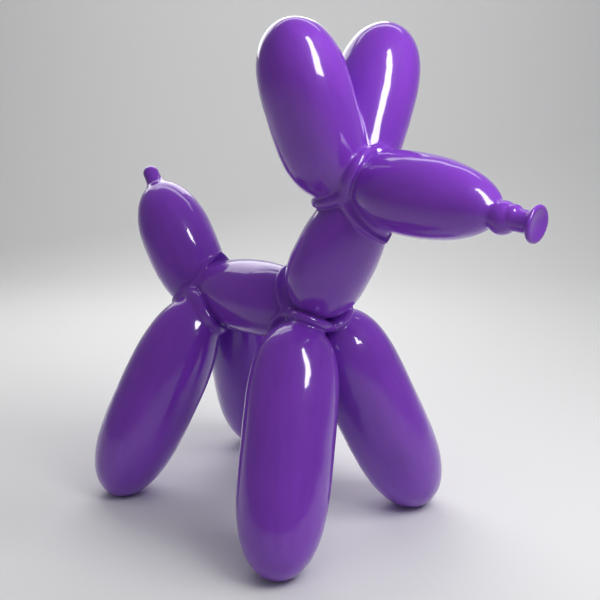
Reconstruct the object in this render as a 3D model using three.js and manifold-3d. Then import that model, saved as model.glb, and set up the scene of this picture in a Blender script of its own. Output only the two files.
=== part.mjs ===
// Statue of a dog twisted from one long balloon, standing: a single gloss-lacquered fibreglass moulding.
// Millimetres, +Z up. The dog faces +X, and the origin is on the ground under the middle of its box.
// Every bubble is a lathe about the line from its root, the twist it grows from, to its tip. Flat-edged
// webs of squeezed skin stand in the creases, where neighbouring bubbles share a twist.

import * as THREE from 'three';
import * as BufferGeometryUtils from 'three/addons/utils/BufferGeometryUtils.js';
import Module from 'manifold-3d';

// The three twists, on the middle plane
const HIP = [-572, 0, 781];
const SHOULDER = [22, 0, 795];
const HEAD = [292, 0, 1240];

// Ends of the bubbles. Pairs are given for the dog's right side (-Y) and mirrored.
const MUZZLE_ROOT = [236, 0, 1243];
const MUZZLE_TIP = [764, 0, 1214];
const TAIL_ROOT = [-508, 0, 689];
const TAIL_TIP = [-834, 0, 1155];
const EAR_ROOT = [162, -22, 1202];
const EAR_TIP = [163, -250, 1742];
const FRONT_LEG_ROOT = [51, -77, 770];
const FRONT_LEG_TIP = [248, -391, 3];
const HIND_LEG_ROOT = [-444, -86, 770];
const HIND_LEG_TIP = [-657, -392, 1];

// Per bubble: where it starts and ends, its largest radius, the share of its length from the root to
// that widest place, and how full each end is: 2 is an ellipsoid's end, more is blunter.
const BUBBLES = {
  body: { root: HIP, tip: SHOULDER, radius: 138, widest: 0.57, rootFullness: 2.0, tipFullness: 2.5 },
  neck: { root: SHOULDER, tip: HEAD, radius: 140, widest: 0.38, rootFullness: 2.8, tipFullness: 2.5 },
  muzzle: {
    root: MUZZLE_ROOT, tip: MUZZLE_TIP, radius: 131, widest: 0.405, rootFullness: 2.4, tipFullness: 2.1,
  },
  tail: { root: TAIL_ROOT, tip: TAIL_TIP, radius: 142, widest: 0.555, rootFullness: 2.6, tipFullness: 2.1 },
  ear: { root: EAR_ROOT, tip: EAR_TIP, radius: 143, widest: 0.53, rootFullness: 3.4, tipFullness: 2.8 },
  frontLeg: {
    root: FRONT_LEG_ROOT, tip: FRONT_LEG_TIP, radius: 158, widest: 0.47, rootFullness: 4.1, tipFullness: 3.6,
  },
  hindLeg: {
    root: HIND_LEG_ROOT, tip: HIND_LEG_TIP, radius: 157, widest: 0.5, rootFullness: 2.8, tipFullness: 3.1,
  },
};
const PAIRED = ['ear', 'frontLeg', 'hindLeg'];

// At each twist two bubbles of the middle line meet a pair. Webs stand in the creases between the two
// and between each of them and each of the pair, and reach this far off the skins.
const TWISTS = [
  { middle: ['muzzle', 'neck'], pair: 'ear' },
  { middle: ['body', 'neck'], pair: 'frontLeg' },
  { middle: ['body', 'tail'], pair: 'hindLeg' },
];
const WEB_REACH = 36;

// The knot on the nose: a waist, a ball, a second waist and a flared, dished lip.
// Each profile point is [distance from the start along the knot's axis, radius].
const KNOT_START = [735, 0, 1201];
const KNOT_END = [876, 0, 1189];
const KNOT_PROFILE = [
  [-45, 36], [-8, 41], [18, 47], [38, 50], [62, 46], [88, 37], [107, 35], [124, 44],
];
const LIP_RADIUS = 56;
const LIP_THICKNESS = 16;
const LIP_DISH = 6;

// The stub of uninflated balloon at the tail's tip, in line with the tail
const STUB_START = [-830, 0, 1155];
const STUB_BASE_RADIUS = 46;
const STUB_RADIUS = 33;
const STUB_LENGTH = 47;
const STUB_SINK = 14;

const SIDES = 24;
const RINGS_PER_HALF = 7;
const WEB_SIDES = 16;
const WEB_RINGS_PER_HALF = 4;
const SMALL_SIDES = 16;
const LACQUER = { color: 0x6d34a8, roughness: 0.18, metalness: 0 };

const wasm = await Module();
wasm.setup();

// A closed geometry as a solid; side -1 keeps it as drawn, +1 mirrors it to the dog's left.
function solid(geometry, side = -1) {
  const bare = geometry.clone();
  bare.deleteAttribute('normal');
  bare.deleteAttribute('uv');
  bare.scale(1, -side, 1);
  const merged = BufferGeometryUtils.mergeVertices(bare, 0.001);
  const corners = merged.index.array;
  const triVerts = [];
  for (let i = 0; i < corners.length; i += 3) {
    const [a, b, c] = corners.subarray(i, i + 3);
    const flat = a === b || b === c || c === a;
    if (!flat) triVerts.push(a, side < 0 ? b : c, side < 0 ? c : b);
  }
  return new wasm.Manifold(new wasm.Mesh({
    numProp: 3,
    vertProperties: merged.attributes.position.array,
    triVerts: new Uint32Array(triVerts),
  }));
}

// A lathe whose profile of [along, radius] pairs runs up the line from start towards end. The radii
// are widened so that the flats, not the corners, touch the round shape.
function turned(profile, start, end, sides) {
  const widen = 1 / Math.cos(Math.PI / sides);
  const points = profile.map(([along, radius]) => new THREE.Vector2(radius * widen, along));
  const from = new THREE.Vector3(...start);
  const aim = new THREE.Vector3(...end).sub(from).normalize();
  const turn = new THREE.Quaternion().setFromUnitVectors(new THREE.Vector3(0, 1, 0), aim);
  return new THREE.LatheGeometry(points, sides).applyQuaternion(turn).translate(...start);
}

// A bubble, or with grow above 0 the same bubble swollen by that much all round
function bubble({ root, tip, radius, widest, rootFullness, tipFullness }, grow = 0) {
  const length = new THREE.Vector3(...root).distanceTo(new THREE.Vector3(...tip));
  const rings = grow > 0 ? WEB_RINGS_PER_HALF : RINGS_PER_HALF;
  const profile = [];
  for (let ring = -rings; ring <= rings; ring += 1) {
    const share = Math.sin((ring / rings) * (Math.PI / 2));
    const rootHalf = share < 0;
    const reach = (rootHalf ? widest : 1 - widest) * length + grow;
    const fullness = rootHalf ? rootFullness : tipFullness;
    const round = Math.sqrt(1 - Math.abs(share) ** fullness);
    profile.push([widest * length + share * reach, (radius + grow) * round]);
  }
  return turned(profile, root, tip, grow > 0 ? WEB_SIDES : SIDES);
}

function knot() {
  const along = new THREE.Vector3(...KNOT_START).distanceTo(new THREE.Vector3(...KNOT_END));
  const stem = new THREE.SplineCurve(KNOT_PROFILE.map(([x, r]) => new THREE.Vector2(x, r)));
  const profile = [[KNOT_PROFILE[0][0], 0]];
  for (const point of stem.getPoints(16)) profile.push([point.x, point.y]);
  const rim = LIP_THICKNESS / 2;
  for (let step = 0; step <= 4; step += 1) {
    const angle = (step / 4) * Math.PI;
    profile.push([along - rim * Math.cos(angle), LIP_RADIUS - rim + rim * Math.sin(angle)]);
  }
  profile.push([along + rim - LIP_DISH, (LIP_RADIUS - rim) * 0.6]);
  profile.push([along + rim - LIP_DISH, 0]);
  return turned(profile, KNOT_START, KNOT_END, SMALL_SIDES);
}

function stub() {
  const flare = STUB_BASE_RADIUS - STUB_RADIUS;
  const profile = [[-STUB_SINK, 0]];
  for (let step = 0; step <= 4; step += 1) {
    const angle = (step / 4) * (Math.PI / 2);
    const along = 2 * flare * (1 - Math.cos(angle)) - STUB_SINK;
    profile.push([along, STUB_BASE_RADIUS - flare * Math.sin(angle)]);
  }
  for (let step = 0; step <= 5; step += 1) {
    const angle = (step / 5) * (Math.PI / 2);
    profile.push([STUB_LENGTH + STUB_RADIUS * Math.sin(angle), STUB_RADIUS * Math.cos(angle)]);
  }
  const tail = new THREE.Vector3(...TAIL_TIP).sub(new THREE.Vector3(...TAIL_ROOT));
  const beyond = tail.add(new THREE.Vector3(...STUB_START));
  return turned(profile, STUB_START, beyond.toArray(), SMALL_SIDES);
}

// Every bubble of the dog by name, paired ones on both sides, swollen by grow
function bubbleSolids(grow) {
  const solids = {};
  for (const [name, sizes] of Object.entries(BUBBLES)) {
    const shape = bubble(sizes, grow);
    if (PAIRED.includes(name)) {
      solids[`${name}Right`] = solid(shape, -1);
      solids[`${name}Left`] = solid(shape, 1);
    } else {
      solids[name] = solid(shape);
    }
  }
  return solids;
}

function ground() {
  const slab = new THREE.BoxGeometry(4000, 4000, 400);
  return solid(slab.translate(0, 0, -200));
}

function balloonPoodle() {
  const skins = bubbleSolids(0);
  const swollen = bubbleSolids(WEB_REACH);
  let dog = solid(knot()).add(solid(stub()));
  for (const skin of Object.values(skins)) dog = dog.add(skin);
  for (const { middle: [first, second], pair } of TWISTS) {
    dog = dog.add(swollen[first].intersect(swollen[second]));
    for (const limb of [swollen[`${pair}Right`], swollen[`${pair}Left`]]) {
      dog = dog.add(swollen[first].intersect(limb)).add(swollen[second].intersect(limb));
    }
  }
  return dog.subtract(ground());
}

// The solid as a geometry, moved so that the origin is under the middle of its box
function geometryOf(shape) {
  const mesh = shape.getMesh();
  const geometry = new THREE.BufferGeometry();
  geometry.setAttribute('position', new THREE.Float32BufferAttribute(mesh.vertProperties, 3));
  geometry.setIndex(new THREE.Uint32BufferAttribute(mesh.triVerts, 1));
  geometry.computeBoundingBox();
  const { min, max } = geometry.boundingBox;
  geometry.translate(-(min.x + max.x) / 2, -(min.y + max.y) / 2, -min.z);
  geometry.computeVertexNormals();
  return geometry;
}

const dog = new THREE.Mesh(geometryOf(balloonPoodle()), new THREE.MeshStandardMaterial(LACQUER));
dog.name = 'balloon_poodle';

const statue = new THREE.Group();
statue.add(dog);

export default statue;
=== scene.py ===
import math

import bpy
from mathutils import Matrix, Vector


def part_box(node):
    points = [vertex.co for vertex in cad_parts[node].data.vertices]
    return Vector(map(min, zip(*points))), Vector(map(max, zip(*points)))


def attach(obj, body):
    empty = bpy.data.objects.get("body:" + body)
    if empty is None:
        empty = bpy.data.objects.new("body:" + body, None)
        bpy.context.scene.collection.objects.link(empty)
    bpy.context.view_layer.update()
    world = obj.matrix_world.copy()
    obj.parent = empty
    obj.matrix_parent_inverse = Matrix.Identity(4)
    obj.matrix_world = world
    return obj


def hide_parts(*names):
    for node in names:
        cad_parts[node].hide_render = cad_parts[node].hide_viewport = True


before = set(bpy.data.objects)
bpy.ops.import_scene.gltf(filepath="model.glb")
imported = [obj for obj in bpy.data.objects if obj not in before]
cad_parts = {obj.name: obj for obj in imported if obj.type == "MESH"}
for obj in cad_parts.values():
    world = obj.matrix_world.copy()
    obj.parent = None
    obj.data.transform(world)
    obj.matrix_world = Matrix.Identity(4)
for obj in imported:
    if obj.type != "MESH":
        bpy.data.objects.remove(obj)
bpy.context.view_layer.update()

# ---- The moulding ---------------------------------------------------------------------------------
# The whole dog is one hollow fibreglass moulding in gloss lacquer: the bubbles of one long balloon, webs
# of squeezed skin at its three twists, a knot on the nose and a stub on the tail. The skin is worked
# out as one signed distance, so that all of it flows together, and the feet are ground off flat.

# The pattern is laid out in millimetres at this height, and scaled to the height of the frame's box
LOW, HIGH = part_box("balloon_poodle")
PATTERN_HEIGHT = 1750.4
MM = (HIGH.z - LOW.z) / PATTERN_HEIGHT


def place(x, y, z):
    """A point given in millimetres on the pattern, in metres."""
    return Vector((x, y, z)) * MM


class Value:
    """A number in a node tree. An expression on values adds the Math nodes that work it out."""

    def __init__(self, tree, socket):
        self.tree = tree
        self.socket = socket

    def math(self, operation, *others, clamp=False):
        sources = [self, *others]
        node = self.tree.node("ShaderNodeMath", {"operation": operation, "use_clamp": clamp}, sources)
        return Value(self.tree, node.outputs[0])

    def reflected(self, operation, other):
        """The same with the other number first."""
        node = self.tree.node("ShaderNodeMath", {"operation": operation}, [other, self])
        return Value(self.tree, node.outputs[0])

    def __add__(self, other):
        return self.math("ADD", other)

    def __sub__(self, other):
        return self.math("SUBTRACT", other)

    def __mul__(self, other):
        return self.math("MULTIPLY", other)

    def __truediv__(self, other):
        return self.math("DIVIDE", other)

    def __pow__(self, other):
        return self.math("POWER", other)

    def __radd__(self, other):
        return self.math("ADD", other)

    def __rsub__(self, other):
        return self.reflected("SUBTRACT", other)

    def __rmul__(self, other):
        return self.math("MULTIPLY", other)

    def __rtruediv__(self, other):
        return self.reflected("DIVIDE", other)

    def __gt__(self, other):
        return self.math("GREATER_THAN", other)

    def __lt__(self, other):
        return self.math("LESS_THAN", other)

    def __abs__(self):
        return self.math("ABSOLUTE")

    def root(self):
        return self.math("SQRT")

    def least(self, other, blend=0.0):
        """The lower of two, run together where they are within the blend of each other."""
        return self.math("SMOOTH_MIN", other, blend) if blend else self.math("MINIMUM", other)

    def most(self, other, blend=0.0):
        """The higher of two, run together in the same way."""
        return self.math("SMOOTH_MAX", other, blend) if blend else self.math("MAXIMUM", other)


class Tree:
    """A node tree, to which one method, node, adds every node."""

    def __init__(self, tree):
        self.tree = tree

    @classmethod
    def group(cls, name, inputs, outputs):
        """A new node group with these sockets, and its inputs as values by name."""
        group = bpy.data.node_groups.new(name, "GeometryNodeTree")
        for in_out, sockets in (("INPUT", inputs), ("OUTPUT", outputs)):
            for socket, kind in sockets.items():
                group.interface.new_socket(socket, in_out=in_out, socket_type=f"NodeSocket{kind}")
        tree = cls(group)
        entry = tree.node("NodeGroupInput")
        return tree, {socket: Value(tree, entry.outputs[socket]) for socket in inputs}

    def finish(self, *results):
        """Ends a group with its outputs, in order, and gives it back."""
        self.node("NodeGroupOutput", sources=results)
        return self.tree

    def use(self, group, sources, output=0):
        """One output of a group used as a node, with its inputs by name."""
        return self.value("GeometryNodeGroup", {"node_tree": group}, sources, output)

    def node(self, kind, settings=None, sources=()):
        """Adds a node, applies its settings, then sets or links its sockets by name or in order."""
        node = self.tree.nodes.new(kind)
        for name, setting in (settings or {}).items():
            setattr(node, name, setting)
        pairs = sources.items() if isinstance(sources, dict) else enumerate(sources)
        for key, source in pairs:
            self.plug(source, node.inputs[key])
        return node

    def plug(self, source, socket):
        """Links a value or a socket to a socket, or sets a constant on it."""
        if isinstance(source, Value):
            source = source.socket
        if isinstance(source, bpy.types.NodeSocket):
            self.tree.links.new(source, socket)
        else:
            socket.default_value = source

    def value(self, kind, settings=None, sources=(), output=0):
        """Adds a node and gives one of its outputs as a value."""
        return Value(self, self.node(kind, settings, sources).outputs[output])

    def vector(self, operation, *sources):
        """A Vector Math node's vector, or its number where it makes one."""
        node = self.node("ShaderNodeVectorMath", {"operation": operation}, sources)
        return Value(self, node.outputs["Value" if operation in ("DOT_PRODUCT", "LENGTH") else "Vector"])

    def scaled(self, vector, factor):
        """A vector times a number."""
        sources = {"Vector": vector, "Scale": factor}
        return self.node("ShaderNodeVectorMath", {"operation": "SCALE"}, sources).outputs["Vector"]

    def mixed(self, kind, factor, first, second):
        """A blend of two colours or vectors: kind is RGBA or VECTOR."""
        names = {"RGBA": ("Factor_Float", "A_Color", "B_Color", "Result_Color"),
                 "VECTOR": ("Factor_Float", "A_Vector", "B_Vector", "Result_Vector")}[kind]
        node = self.node("ShaderNodeMix", {"data_type": kind})
        sockets = {socket.identifier: socket for socket in node.inputs}
        for name, source in zip(names, (factor, first, second)):
            self.plug(source, sockets[name])
        return next(socket for socket in node.outputs if socket.identifier == names[3])


# The three twists. What comes in pairs is given for the dog's left side and mirrored.
HIP = place(-572, 0, 781)
SHOULDER = place(22, 0, 795)
HEAD = place(292, 0, 1240)

# Each bubble's root, tip, largest radius, share of the length from the root to the widest place, and
# fullness of the root end and of the tip end: 2 is an ellipsoid's end, more is blunter
BUBBLES = {
    "body": (HIP, SHOULDER, 138 * MM, 0.57, 2.0, 2.5),
    "neck": (SHOULDER, HEAD, 140 * MM, 0.38, 2.8, 2.5),
    "muzzle": (place(236, 0, 1243), place(764, 0, 1214), 131 * MM, 0.405, 2.4, 2.1),
    "tail": (place(-508, 0, 689), place(-834, 0, 1155), 142 * MM, 0.555, 2.6, 2.1),
    "ear": (place(162, 22, 1202), place(163, 250, 1742), 143 * MM, 0.53, 3.4, 2.8),
    "front leg": (place(51, 77, 770), place(248, 391, 3), 158 * MM, 0.47, 4.1, 3.6),
    "hind leg": (place(-444, 86, 770), place(-657, 392, 1), 157 * MM, 0.5, 2.8, 3.1),
}

# Each web's two bubbles; then, in millimetres, how far its crest leans towards the first, half the
# crest's thickness, and how far it stands off their skins at the dog's middle and at the sides; then
# how steeply its flank falls towards the second, where 0 is a band with two even sides and the others
# are the skirts that back the thin crests
WEBS = (
    ("ear", "muzzle", 0, 18, 25, 25, 0),
    ("ear", "neck", 0, 16, 25, 25, 0),
    ("neck", "muzzle", 10, 8, 40, 20, 0),
    ("neck", "muzzle", 6, 10, 26, 14, 0.5),
    ("body", "neck", 11, 8, 36, 28, 0),
    ("body", "neck", 7, 10, 26, 20, 0.7),
    ("neck", "front leg", -2, 20, 38, 27, 0),
    ("body", "front leg", 12, 8, 28, 28, 0),
    ("body", "front leg", 7, 10, 24, 24, 0.7),
    ("body", "tail", 14, 6, 53, 22, 0),
    ("body", "tail", 9, 10, 30, 16, 0.6),
    ("tail", "hind leg", 0, 14, 24, 24, 0),
    ("body", "hind leg", -6, 16, 26, 26, 0),
)
# How far from the dog's middle a web is down to its height at the sides
PEAK_REACH = 110 * MM

# Each boss's three bubbles, whose webs run into it; then, in millimetres, how far it leans towards the
# first, its radius, and how far it stands off their skins
BOSSES = (
    ("neck", "ear", "muzzle", 6, 26, 25),
    ("body", "neck", "front leg", 6, 50, 30),
    ("tail", "body", "hind leg", 0, 32, 26),
)


def from_line(tree, spot, start, aim):
    """How far along a line a spot is, and how far out from it, squared."""
    out = tree.vector("SUBTRACT", spot, start)
    along = tree.vector("DOT_PRODUCT", out, aim)
    return along, (tree.vector("DOT_PRODUCT", out, out) - along * along).most(0.0)


# Floors that keep the bubble's sums from dividing by nothing at its middle
NEARLY_NOTHING = 0.001
LEAST_SLOPE = 0.1

# The distance from a spot to one bubble's skin, true near the skin and negative inside. The half
# nearer the tip is longer or shorter than the root's, and has its own fullness. The spread is one on
# the skin and grows outwards: what it is past one, over its slope, gives the distance. Its slope is
# that of its square, which is worked out here, over twice itself.
BUBBLE_SIZES = {
    "Root": "Vector",
    "Tip": "Vector",
    "Radius": "Float",
    "Widest": "Float",
    "Root fullness": "Float",
    "Tip fullness": "Float",
}
tree, size = Tree.group("Bubble", {"Spot": "Vector", **BUBBLE_SIZES}, {"Distance": "Float"})
line = tree.vector("SUBTRACT", size["Tip"], size["Root"])
length = tree.vector("LENGTH", line)
aim = tree.vector("NORMALIZE", line)
root_half = size["Widest"] * length
middle = tree.vector("ADD", size["Root"], tree.scaled(aim, root_half))
along, across_squared = from_line(tree, size["Spot"], middle, aim)
forward = along > 0.0
half = forward * (length - root_half * 2) + root_half
fullness = forward * (size["Tip fullness"] - size["Root fullness"]) + size["Root fullness"]
share = (abs(along) / half).most(NEARLY_NOTHING)
bulk = share ** fullness
radius_squared = size["Radius"] * size["Radius"]
spread = (across_squared / radius_squared + bulk).root()
sideways = across_squared / (radius_squared * radius_squared) * 4
lengthways = fullness * bulk / (share * half)
slope = (sideways + lengthways * lengthways).root().most(LEAST_SLOPE)
bubble_group = tree.finish((spread - 1) * spread * 2 / slope)


def bubble(tree, spot, *sizes):
    """Distance to one bubble, whose sizes come in the order of BUBBLE_SIZES."""
    return tree.use(bubble_group, {"Spot": spot, **dict(zip(BUBBLE_SIZES, sizes))})


# Share of a web's half thickness that its edge is rounded by
WEB_ROUNDING = 0.9


def web(first, second, lean, thickness, reach, fall):
    """Distance to the web between two bubbles, from the distances to their skins."""
    rounding = thickness * WEB_ROUNDING
    side = (first - second) / 2 + lean
    height = (first + second) / 2 - (reach - rounding)
    if fall:
        height = (height + side.most(0.0) * fall) / math.hypot(1, fall)
        side = side * -1
    else:
        side = abs(side)
    side = (side - (thickness - rounding)).most(0.0)
    height = height.most(0.0)
    return (side * side + height * height).root() - rounding


def boss(first, second, third, lean, radius, reach):
    """Distance to the rounded boss where three bubbles meet, from the distances to their skins.

    Three skins that stand evenly about a line are unequally far from a spot beside it: two thirds of
    the squares of the differences from their mean add up to the square of its distance from the line.
    """
    middle = (first + second + third) / 3
    spread = 0
    for span, offset in ((first, 2 * lean), (second, -lean), (third, -lean)):
        spread = (span - middle + offset / 3) ** 2 * (2 / 3) + spread
    height = (middle - (reach - radius)).most(0.0)
    return (spread + height * height).root() - radius


# The knot on the nose, from the muzzle's end outwards: a ball with a smaller roll lapped over it, a
# short waist and a flared lip, dished where the balloon's mouth was. Its ball and its roll are bubbles.
KNOT_START = place(735, 0, 1201)
KNOT_AIM = (place(876, 0, 1189) - KNOT_START).normalized()


def on_knot(along, lift=0):
    """A point on the knot's axis, or lifted off it, in millimetres from the knot's start."""
    return KNOT_START + KNOT_AIM * (along * MM) + Vector((0, 0, lift * MM))


KNOT_BALL = (on_knot(-14, -2), on_knot(84, -4), 51 * MM, 0.5, 2.0, 2.0)
KNOT_ROLL = (on_knot(38, 7), on_knot(94, 5), 38 * MM, 0.55, 2.4, 2.2)
WAIST_RADIUS = 35 * MM
LIP_AT = 141 * MM
LIP_RADIUS = 56 * MM
LIP_RIM = 8 * MM
LIP_FLARE = 34 * MM
DISH_RADIUS = 165 * MM
DISH_FLOOR = 3 * MM
DISH_EDGE = 6 * MM
ROLL_TO_BALL = 4 * MM
WAIST_TO_BALL = 12 * MM


def knot(tree, spot):
    """Distance to the knot on the nose."""
    ball = bubble(tree, spot, *KNOT_BALL)
    roll = bubble(tree, spot, *KNOT_ROLL)
    along, across_squared = from_line(tree, spot, KNOT_START, KNOT_AIM)
    across = across_squared.root()
    waist = (across - WAIST_RADIUS).most(abs(along - LIP_AT / 2) - LIP_AT / 2)
    out = (across - (LIP_RADIUS - LIP_RIM)).most(0.0)
    ahead = along - LIP_AT
    lip = (out * out + ahead * ahead).root() - LIP_RIM
    dish_centre = KNOT_START + KNOT_AIM * (LIP_AT + DISH_FLOOR + DISH_RADIUS)
    dish = tree.vector("LENGTH", tree.vector("SUBTRACT", spot, dish_centre)) - DISH_RADIUS
    dished = waist.least(lip, LIP_FLARE).most(dish * -1, DISH_EDGE)
    return dished.least(ball.least(roll, ROLL_TO_BALL), WAIST_TO_BALL)


# The stub of uninflated balloon at the tail's tip, in line with the tail
STUB_START = place(-830, 0, 1155)
STUB_RADIUS = 33 * MM
STUB_LENGTH = 47 * MM


def stub(tree, spot, tail_root, tail_tip):
    """Distance to the round-ended stub on the tail."""
    aim = (tail_tip - tail_root).normalized()
    along, across_squared = from_line(tree, spot, STUB_START, aim)
    beyond = (abs(along - STUB_LENGTH / 2) - STUB_LENGTH / 2).most(0.0)
    return (across_squared + beyond * beyond).root() - STUB_RADIUS


# How softly what meets runs together: the bubbles where they press on each other, the webs into each
# other, into the bosses and into the skins, the knot and the stub into their bubbles, and the soles'
# rims into their flats
PRESSED = 6 * MM
WEB_TO_WEB = 14 * MM
BOSS_TO_WEB = 36 * MM
LIMB_TO_WEB = 26 * MM
BODY_TO_WEB = 12 * MM
KNOT_TO_MUZZLE = 16 * MM
STUB_TO_TAIL = 40 * MM
SOLE_RIM = 5 * MM

SKIN_SIZES = {"Crease": "Float", "Wave depth": "Float", "Wave length": "Float"}
results = {"Distance": "Float", "Lengthways": "Vector"}
tree, given = Tree.group("Skin distance", {"Spot": "Vector", **SKIN_SIZES}, results)

# the dog is folded at its middle, so that one side does for both
parts = tree.node("ShaderNodeSeparateXYZ", sources=[given["Spot"]])
away_from_middle = Value(tree, parts.outputs["Y"])
across = (away_from_middle * away_from_middle + given["Crease"] * given["Crease"]).root()
folded = tree.value("ShaderNodeCombineXYZ", sources=[parts.outputs["X"], across, parts.outputs["Z"]])
spans = {name: bubble(tree, folded, *sizes) for name, sizes in BUBBLES.items()}

# which way the nearest bubble runs, mirrored with it
nearest = None
for name, (root, tip, *_) in BUBBLES.items():
    aim = (tip - root).normalized()
    if nearest is None:
        nearest, lengthways = spans[name], aim
    else:
        lengthways = tree.mixed("VECTOR", spans[name] < nearest, lengthways, aim)
        nearest = nearest.least(spans[name])
mirror = tree.value("ShaderNodeCombineXYZ", sources=[1, away_from_middle.math("SIGN"), 1])
lengthways = tree.vector("MULTIPLY", lengthways, mirror)

spans["muzzle"] = spans["muzzle"].least(knot(tree, folded), KNOT_TO_MUZZLE)
tail_root, tail_tip = BUBBLES["tail"][:2]
spans["tail"] = spans["tail"].least(stub(tree, folded, tail_root, tail_tip), STUB_TO_TAIL)

folds = None
peak = (1 - across / PEAK_REACH).most(0.0) ** 2
for first, second, lean, thickness, middle, sides, fall in WEBS:
    reach = peak * (middle - sides) * MM + sides * MM
    fold = web(spans[first], spans[second], lean * MM, thickness * MM, reach, fall)
    folds = fold if folds is None else folds.least(fold, WEB_TO_WEB)
for first, second, third, *sizes in BOSSES:
    fold = boss(spans[first], spans[second], spans[third], *(size * MM for size in sizes))
    folds = folds.least(fold, BOSS_TO_WEB)
skin = spans["body"]
for name in ("neck", "muzzle", "tail"):
    skin = skin.least(spans[name], PRESSED)
limbs = spans["ear"].least(spans["front leg"], PRESSED).least(spans["hind leg"], PRESSED)
skin = skin.least(limbs.least(folds, LIMB_TO_WEB), BODY_TO_WEB)

# the wave is nought or more, so it only sinks into the skin; the ground is cut after it, flat
wave = tree.value("ShaderNodeTexNoise", {"noise_dimensions": "3D"}, {
    "Vector": given["Spot"],
    "Scale": 1 / given["Wave length"],
    "Detail": 1.0,
    "Roughness": 0.4,
})
skin = skin + wave * given["Wave depth"]
skin = skin.most(Value(tree, parts.outputs["Z"]) * -1, SOLE_RIM)
skin_group = tree.finish(skin, lengthways)

# The skin is meshed on a grid of cells over the dog's box and a margin. A share of its faces is
# enough, and what is kept is then drawn onto the true surface a few times over, step by step.
MARGIN = 24 * MM
KEPT_SHARE = 0.3
SLOPE_STEP = 1 * MM
DRAWN_TIMES = 3


def position(tree):
    """Where each point of the mesh or of the grid is."""
    return tree.value("GeometryNodeInputPosition")


def skin_at(tree, given, spot, output="Distance"):
    """What the skin group says of a spot, with the sizes that the modifier was given."""
    return tree.use(skin_group, {"Spot": spot, **{name: given[name] for name in SKIN_SIZES}}, output)


def slope_at(tree, given, spot):
    """The direction straight out of the skin, from the distance at four spots around this one."""
    total = None
    for corner in ((1, 1, 1), (1, -1, -1), (-1, 1, -1), (-1, -1, 1)):
        beside = tree.vector("ADD", spot, Vector(corner) * SLOPE_STEP)
        pull = tree.scaled(Vector(corner), skin_at(tree, given, beside))
        total = pull if total is None else tree.vector("ADD", total, pull)
    return tree.vector("NORMALIZE", total)


MESH = {"Geometry": "Geometry"}
tree, given = Tree.group("Dog on a grid", {**MESH, **SKIN_SIZES, "Cell": "Float"}, MESH)
low = LOW - Vector((MARGIN,) * 3)
high = HIGH + Vector((MARGIN,) * 3)
steps = [(span / given["Cell"]).math("CEIL") for span in high - low]
top = [step * given["Cell"] + start for step, start in zip(steps, low)]
volume = tree.value("GeometryNodeVolumeCube", sources={
    "Density": skin_at(tree, given, position(tree)) * -1,
    "Background": -1.0,
    "Min": low,
    "Max": tree.value("ShaderNodeCombineXYZ", sources=top),
    "Resolution X": steps[0] + 1,
    "Resolution Y": steps[1] + 1,
    "Resolution Z": steps[2] + 1,
})
meshed = tree.value("GeometryNodeVolumeToMesh", sources={"Volume": volume, "Threshold": 0.0})
grid_group = tree.finish(meshed)

tree, given = Tree.group("Dog drawn onto its skin", {**MESH, **SKIN_SIZES, "Finish": "Material"}, MESH)
geometry = given["Geometry"]
for draw in range(DRAWN_TIMES):
    spot = position(tree)
    step = tree.scaled(slope_at(tree, given, spot), skin_at(tree, given, spot) * -1)
    geometry = tree.value("GeometryNodeSetPosition", sources={"Geometry": geometry, "Offset": step})
spot = position(tree)
geometry = tree.value("GeometryNodeStoreNamedAttribute", {"data_type": "FLOAT_VECTOR", "domain": "POINT"}, {
    "Geometry": geometry,
    "Name": "lengthways",
    "Value": skin_at(tree, given, spot, "Lengthways"),
})
geometry = tree.value("GeometryNodeSetShadeSmooth", sources={"Geometry": geometry})
geometry = tree.value("GeometryNodeSetMeshNormal", {"mode": "FREE", "domain": "POINT"}, {
    "Mesh": geometry,
    "Custom Normal": slope_at(tree, given, spot),
})
geometry = tree.value("GeometryNodeRealizeInstances", sources={"Geometry": geometry})
finish = {"Geometry": geometry, "Material": given["Finish"]}
drawn_group = tree.finish(tree.value("GeometryNodeSetMaterial", sources=finish))

# The lacquer: a purple pigment with hardly a sheen of its own, under a full clear gloss coat
PIGMENT_SHEEN = 0.1
GLOSS_BLUR = 0.06
lacquer = bpy.data.materials.new("purple lacquer")
lacquer.use_nodes = True
shader = lacquer.node_tree.nodes["Principled BSDF"]
shader.inputs["Specular IOR Level"].default_value = PIGMENT_SHEEN
shader.inputs["Coat Weight"].default_value = 1.0
shader.inputs["Coat Roughness"].default_value = GLOSS_BLUR
tree = Tree(lacquer.node_tree)
spot = tree.node("ShaderNodeTexCoord").outputs["Object"]
grain = tree.node("ShaderNodeAttribute", {"attribute_name": "lengthways"}).outputs["Vector"]

# Spots squeezed along each bubble, so that a pattern on them runs in long streaks
SQUEEZE = 0.88
lengthways = tree.scaled(grain, tree.vector("DOT_PRODUCT", spot, grain) * SQUEEZE)
streaked = tree.vector("SUBTRACT", spot, lengthways)

# The middle of noise, which runs from nought to one, and of the tint between the two purples
HALFWAY = 0.5


def noise(tree, where, bumps, detail=2.0, roughness=0.5):
    """Noise about nought, mostly within a quarter either way, with so many bumps to the metre."""
    sources = {"Vector": where, "Scale": bumps, "Detail": detail, "Roughness": roughness}
    return tree.value("ShaderNodeTexNoise", {"noise_dimensions": "3D"}, sources) - HALFWAY


# The pigment is a little deeper in soft clouds and in faint streaks where the coats were faired
DEEP = (0.18, 0.035, 0.44, 1)
FULL = (0.238, 0.048, 0.565, 1)
CLOUDINESS = 1.6
STREAKINESS = 1.1
clouds = noise(tree, spot, bumps=3.5)
streaks = noise(tree, streaked, bumps=22, detail=3.0, roughness=0.55)
tint = (clouds * CLOUDINESS + streaks * STREAKINESS).math("ADD", HALFWAY, clamp=True)
tree.plug(tree.mixed("RGBA", tint, DEEP, FULL), shader.inputs["Base Color"])

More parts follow.
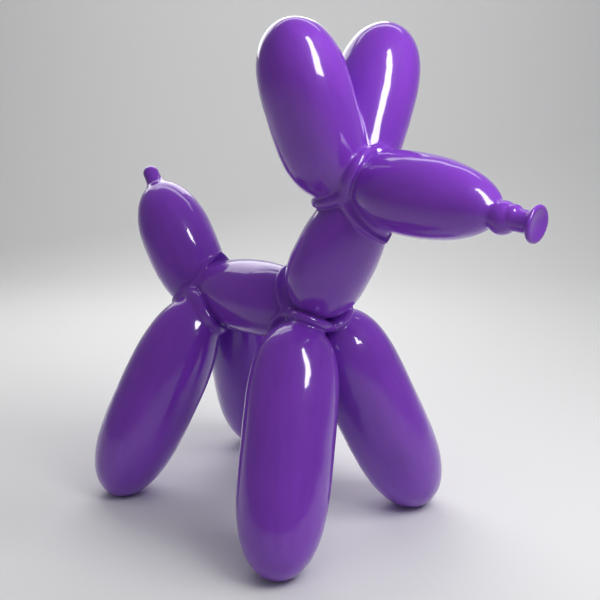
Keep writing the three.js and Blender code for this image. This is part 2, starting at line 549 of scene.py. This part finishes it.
# Fine haze from handling and cleaning, and the orange peel of sprayed lacquer over a faired skin
BASE_ROUGHNESS = 0.3
HAZE = 0.14
PEEL_SHARE = 0.12
RELIEF_HEIGHT = 0.25 * MM
RELIEF_STRENGTH = 0.5
haze = noise(tree, streaked, bumps=60, detail=3.0, roughness=0.6)
tree.plug(haze * HAZE + BASE_ROUGHNESS, shader.inputs["Roughness"])
peel = noise(tree, spot, bumps=260, detail=1.0)
fairing = noise(tree, streaked, bumps=30, detail=1.0)
bump = tree.node("ShaderNodeBump", sources={
    "Strength": RELIEF_STRENGTH,
    "Distance": RELIEF_HEIGHT,
    "Height": peel * PEEL_SHARE + fairing,
})
tree.plug(bump.outputs[0], shader.inputs["Normal"])


def nodes_modifier(holder, group, amounts):
    """Adds a group as a modifier and sets its inputs, which it has by identifier, from their names."""
    modifier = holder.modifiers.new(group.name, "NODES")
    modifier.node_group = group
    for item in group.interface.items_tree:
        if item.in_out == "INPUT" and item.name in amounts:
            modifier[item.identifier] = amounts[item.name]


holder = bpy.data.objects.new("moulding in the making", bpy.data.meshes.new("empty"))
bpy.context.scene.collection.objects.link(holder)

# How softly the two sides run together at the dog's middle; and, as the skin was faired by hand, how
# deep its slight hollows are and how far apart
sizes = {"Crease": 4 * MM, "Wave depth": 2.4 * MM, "Wave length": 75 * MM}
nodes_modifier(holder, grid_group, {**sizes, "Cell": 5 * MM})
holder.modifiers.new("fewer triangles", "DECIMATE").ratio = KEPT_SHARE
nodes_modifier(holder, drawn_group, {**sizes, "Finish": lacquer})
evaluated = holder.evaluated_get(bpy.context.evaluated_depsgraph_get())
moulding = bpy.data.meshes.new_from_object(evaluated)
bpy.data.objects.remove(holder)
dog = bpy.data.objects.new("balloon_poodle_skin", moulding)
bpy.context.scene.collection.objects.link(dog)
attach(dog, "root")
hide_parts("balloon_poodle")

# ---- The studio -----------------------------------------------------------------------------------
# The camera stands ahead of the dog's right shoulder at the height of an adult's eye. The floor is pale
# paper that runs back and sweeps up behind the dog, and soft lights stand round it.

CAMERA_AZIMUTH = math.radians(44.29)
CAMERA_ELEVATION = math.radians(14.31)
CAMERA_DISTANCE = 3130 * MM
CAMERA_AIM = place(-21, 0, 817.5)
SENSOR_WIDTH = 36
FOCAL_LENGTH = 1.494 * SENSOR_WIDTH

lens = bpy.data.cameras.new("camera")
lens.sensor_width = SENSOR_WIDTH
lens.lens = FOCAL_LENGTH
camera = bpy.data.objects.new("camera", lens)
bpy.context.scene.collection.objects.link(camera)
back = Vector((
    math.sin(CAMERA_AZIMUTH) * math.cos(CAMERA_ELEVATION),
    -math.cos(CAMERA_AZIMUTH) * math.cos(CAMERA_ELEVATION),
    math.sin(CAMERA_ELEVATION),
))
camera.location = CAMERA_AIM + back * CAMERA_DISTANCE
camera.rotation_euler = (-back).to_track_quat("-Z", "Y").to_euler()
bpy.context.scene.camera = camera

# The paper, in metres: how far behind the dog it starts to rise, its bend, its top edge, its half
# width, how far it comes forward, and how many flats make the bend
SWEEP_START = 3.6
SWEEP_RADIUS = 2.5
SWEEP_TOP = 7.0
SWEEP_HALF_WIDTH = 14.0
FLOOR_FRONT = 14.0
SWEEP_STEPS = 24
PAPER_WHITE = (0.83, 0.83, 0.83, 1)
PAPER_ROUGHNESS = 0.9
PAPER_SHEEN = 0.1

away = Vector((-math.sin(CAMERA_AZIMUTH), math.cos(CAMERA_AZIMUTH), 0))
aside = Vector((math.cos(CAMERA_AZIMUTH), math.sin(CAMERA_AZIMUTH), 0))
UP = Vector((0, 0, 1))
profile = [(-FLOOR_FRONT, 0.0)]
for step in range(SWEEP_STEPS + 1):
    turn = math.pi / 2 * step / SWEEP_STEPS
    profile.append((SWEEP_START + SWEEP_RADIUS * math.sin(turn), SWEEP_RADIUS * (1 - math.cos(turn))))
profile.append((SWEEP_START + SWEEP_RADIUS, SWEEP_TOP))
corners = []
for reach, height in profile:
    for side in (-SWEEP_HALF_WIDTH, SWEEP_HALF_WIDTH):
        corners.append(away * reach + aside * side + UP * height)
faces = [(2 * row, 2 * row + 1, 2 * row + 3, 2 * row + 2) for row in range(len(profile) - 1)]
sweep_mesh = bpy.data.meshes.new("sweep")
sweep_mesh.from_pydata(corners, [], faces)
sweep_mesh.polygons.foreach_set("use_smooth", [True] * len(faces))
sweep = bpy.data.objects.new("sweep", sweep_mesh)
bpy.context.scene.collection.objects.link(sweep)
paper = bpy.data.materials.new("pale paper")
paper.use_nodes = True
matt = paper.node_tree.nodes["Principled BSDF"]
matt.inputs["Base Color"].default_value = PAPER_WHITE
matt.inputs["Roughness"].default_value = PAPER_ROUGHNESS
matt.inputs["Specular IOR Level"].default_value = PAPER_SHEEN
sweep_mesh.materials.append(paper)

# What the room gives back from its walls
ROOM_COLOUR = (0.96, 0.97, 1, 1)
ROOM_BRIGHTNESS = 0.19
world = bpy.data.worlds.new("studio")
world.use_nodes = True
room = world.node_tree.nodes["Background"]
room.inputs["Color"].default_value = ROOM_COLOUR
room.inputs["Strength"].default_value = ROOM_BRIGHTNESS
bpy.context.scene.world = world
bpy.context.scene.view_settings.view_transform = "Standard"


def softbox(name, location, target, size, watts, shows=True, lights=True):
    """A soft light, placed and sized in metres, that shows in the gloss, lights the colour, or both."""
    light = bpy.data.lights.new(name, "AREA")
    light.shape = "RECTANGLE"
    light.size, light.size_y = size
    light.energy = watts
    lamp = bpy.data.objects.new(name, light)
    lamp.location = location
    lamp.rotation_euler = (Vector(target) - Vector(location)).to_track_quat("-Z", "Y").to_euler()
    lamp.visible_camera = False
    lamp.visible_glossy = shows
    lamp.visible_diffuse = lights
    bpy.context.scene.collection.objects.link(lamp)


# The tall window ahead makes the long streaks in the gloss, and the one behind makes the pale band
# along the back. The key and top lights stand for the daylight that comes with them, and don't show.
# The paper light hangs over the paper behind the dog, aimed at the foot of its upright stretch.
UPRIGHT = away * (SWEEP_START + SWEEP_RADIUS)
softbox("window ahead", (1.9, -0.25, 2.95), (0, -0.2, 2.95), (0.5, 2.7), 88, lights=False)
softbox("window behind", (-2.9, 1.5, 2.9), (0, 0, 0.8), (3.6, 2.2), 54)
softbox("key light", (1.8, 0.4, 2.8), (0, 0, 0.9), (2.0, 1.6), 56, shows=False)
softbox("top light", (0.8, -1.0, 4.0), (0, 0, 0.9), (2.5, 2.5), 19, shows=False)
softbox("paper light", away * 3 + UP * 5.5, UPRIGHT + UP * 0.3, (6, 2), 112)

bpy.context.view_layer.update()
